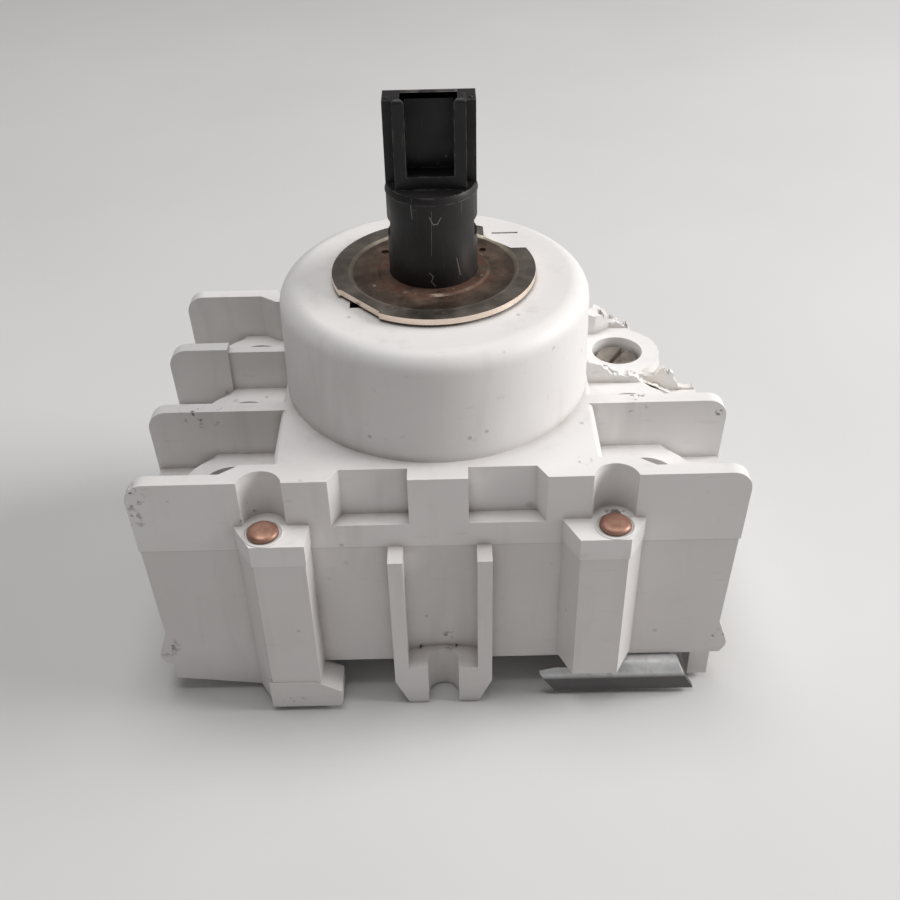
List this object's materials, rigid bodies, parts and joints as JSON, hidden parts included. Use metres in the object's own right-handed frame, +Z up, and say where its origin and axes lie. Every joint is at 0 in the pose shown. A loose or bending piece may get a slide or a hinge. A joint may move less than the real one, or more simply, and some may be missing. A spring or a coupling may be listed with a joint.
{
  "type": "rotary switch disconnector",
  "caption": "Three-pole rotary switch disconnector for rail or screw mounting, with a bare black operating shaft, screw terminals between barrier fins and a damaged corner.",
  "frame": {"origin": "centre of the footprint at the bottom of the feet, on the shaft's axis", "axes": "+X across the rail from the fixed hook to the sprung clip, +Y along the poles away from the viewer, +Z up along the operating shaft"},
  "size_m": [0.0896, 0.0642, 0.0877],
  "materials": {
    "housing_plastic": "satin",
    "shaft_plastic": "satin",
    "inner_plastic": "satin",
    "yellow_zinc": "satin",
    "zinc_steel": "satin",
    "spring_steel": "polished",
    "copper": "satin",
    "silvered_copper": "satin"
  },
  "bodies": {
    "housing": {"upper_housing": "housing_plastic", "lower_housing": "housing_plastic", "housing_rivets": "copper", "clip_spring": "spring_steel", "line_contact_1": "silvered_copper", "line_contact_2": "silvered_copper", "line_contact_3": "silvered_copper", "load_contact_1": "silvered_copper", "load_contact_2": "silvered_copper", "load_contact_3": "silvered_copper"},
    "shaft": {"operating_shaft": "shaft_plastic", "retaining_plate": "yellow_zinc", "cam_disc": "inner_plastic", "snap_spring": "spring_steel", "cam_screw": "zinc_steel"},
    "carrier": {"contact_carrier": "inner_plastic", "bridge_contact_1": "silvered_copper", "bridge_contact_2": "silvered_copper", "bridge_contact_3": "silvered_copper", "contact_spring_1": "spring_steel", "contact_spring_2": "spring_steel", "contact_spring_3": "spring_steel"},
    "clip": {"rail_clip": "zinc_steel"},
    "line_clamp_screw_1": {"line_screw_1": "zinc_steel"},
    "line_clamp_cage_1": {"line_cage_1": "zinc_steel"},
    "load_clamp_screw_1": {"load_screw_1": "zinc_steel"},
    "load_clamp_cage_1": {"load_cage_1": "zinc_steel"},
    "line_clamp_screw_2": {"line_screw_2": "zinc_steel"},
    "line_clamp_cage_2": {"line_cage_2": "zinc_steel"},
    "load_clamp_screw_2": {"load_screw_2": "zinc_steel"},
    "load_clamp_cage_2": {"load_cage_2": "zinc_steel"},
    "line_clamp_screw_3": {"line_screw_3": "zinc_steel"},
    "line_clamp_cage_3": {"line_cage_3": "zinc_steel"},
    "load_clamp_screw_3": {"load_screw_3": "zinc_steel"},
    "load_clamp_cage_3": {"load_cage_3": "zinc_steel"}
  },
  "joints": [
    {"name": "shaft_turn", "type": "hinge", "parent": "housing", "child": "shaft", "pos_m": [0, 0, 0.05], "axis": [0, 0, -1], "range_deg": [0, 90]},
    {"name": "carrier_slide", "type": "slide", "parent": "housing", "child": "carrier", "axis": [0, 1, 0], "range_m": [0, 0.006]},
    {"name": "rail_clip_slide", "type": "slide", "parent": "housing", "child": "clip", "axis": [1, 0, 0], "range_m": [0, 0.003], "stiffness_N_per_m": 1500, "springref_m": -0.002, "deforming": ["clip_spring"]},
    {"name": "line_screw_turn_1", "type": "hinge", "parent": "housing", "child": "line_clamp_screw_1", "pos_m": [-0.0315, -0.0175, 0.03], "axis": [0, 0, -1], "range_deg": [0, 2160]},
    {"name": "line_cage_rise_1", "type": "slide", "parent": "housing", "child": "line_clamp_cage_1", "axis": [0, 0, 1], "range_m": [0, 0.0042]},
    {"name": "load_screw_turn_1", "type": "hinge", "parent": "housing", "child": "load_clamp_screw_1", "pos_m": [0.0315, -0.0175, 0.03], "axis": [0, 0, -1], "range_deg": [0, 2160]},
    {"name": "load_cage_rise_1", "type": "slide", "parent": "housing", "child": "load_clamp_cage_1", "axis": [0, 0, 1], "range_m": [0, 0.0042]},
    {"name": "line_screw_turn_2", "type": "hinge", "parent": "housing", "child": "line_clamp_screw_2", "pos_m": [-0.0315, 0, 0.03], "axis": [0, 0, -1], "range_deg": [0, 2160]},
    {"name": "line_cage_rise_2", "type": "slide", "parent": "housing", "child": "line_clamp_cage_2", "axis": [0, 0, 1], "range_m": [0, 0.0042]},
    {"name": "load_screw_turn_2", "type": "hinge", "parent": "housing", "child": "load_clamp_screw_2", "pos_m": [0.0315, 0, 0.03], "axis": [0, 0, -1], "range_deg": [0, 2160]},
    {"name": "load_cage_rise_2", "type": "slide", "parent": "housing", "child": "load_clamp_cage_2", "axis": [0, 0, 1], "range_m": [0, 0.0042]},
    {"name": "line_screw_turn_3", "type": "hinge", "parent": "housing", "child": "line_clamp_screw_3", "pos_m": [-0.0315, 0.0175, 0.03], "axis": [0, 0, -1], "range_deg": [0, 2160]},
    {"name": "line_cage_rise_3", "type": "slide", "parent": "housing", "child": "line_clamp_cage_3", "axis": [0, 0, 1], "range_m": [0, 0.0042]},
    {"name": "load_screw_turn_3", "type": "hinge", "parent": "housing", "child": "load_clamp_screw_3", "pos_m": [0.0315, 0.0175, 0.03], "axis": [0, 0, -1], "range_deg": [0, 2160]},
    {"name": "load_cage_rise_3", "type": "slide", "parent": "housing", "child": "load_clamp_cage_3", "axis": [0, 0, 1], "range_m": [0, 0.0042]}
  ],
  "couplings": [
    {"joint": "shaft_turn", "follows": "carrier_slide", "rad_per_m": 261.8},
    {"joint": "line_screw_turn_1", "follows": "line_cage_rise_1", "rad_per_m": 8976},
    {"joint": "load_screw_turn_1", "follows": "load_cage_rise_1", "rad_per_m": 8976},
    {"joint": "line_screw_turn_2", "follows": "line_cage_rise_2", "rad_per_m": 8976},
    {"joint": "load_screw_turn_2", "follows": "load_cage_rise_2", "rad_per_m": 8976},
    {"joint": "line_screw_turn_3", "follows": "line_cage_rise_3", "rad_per_m": 8976},
    {"joint": "load_screw_turn_3", "follows": "load_cage_rise_3", "rad_per_m": 8976}
  ]
}
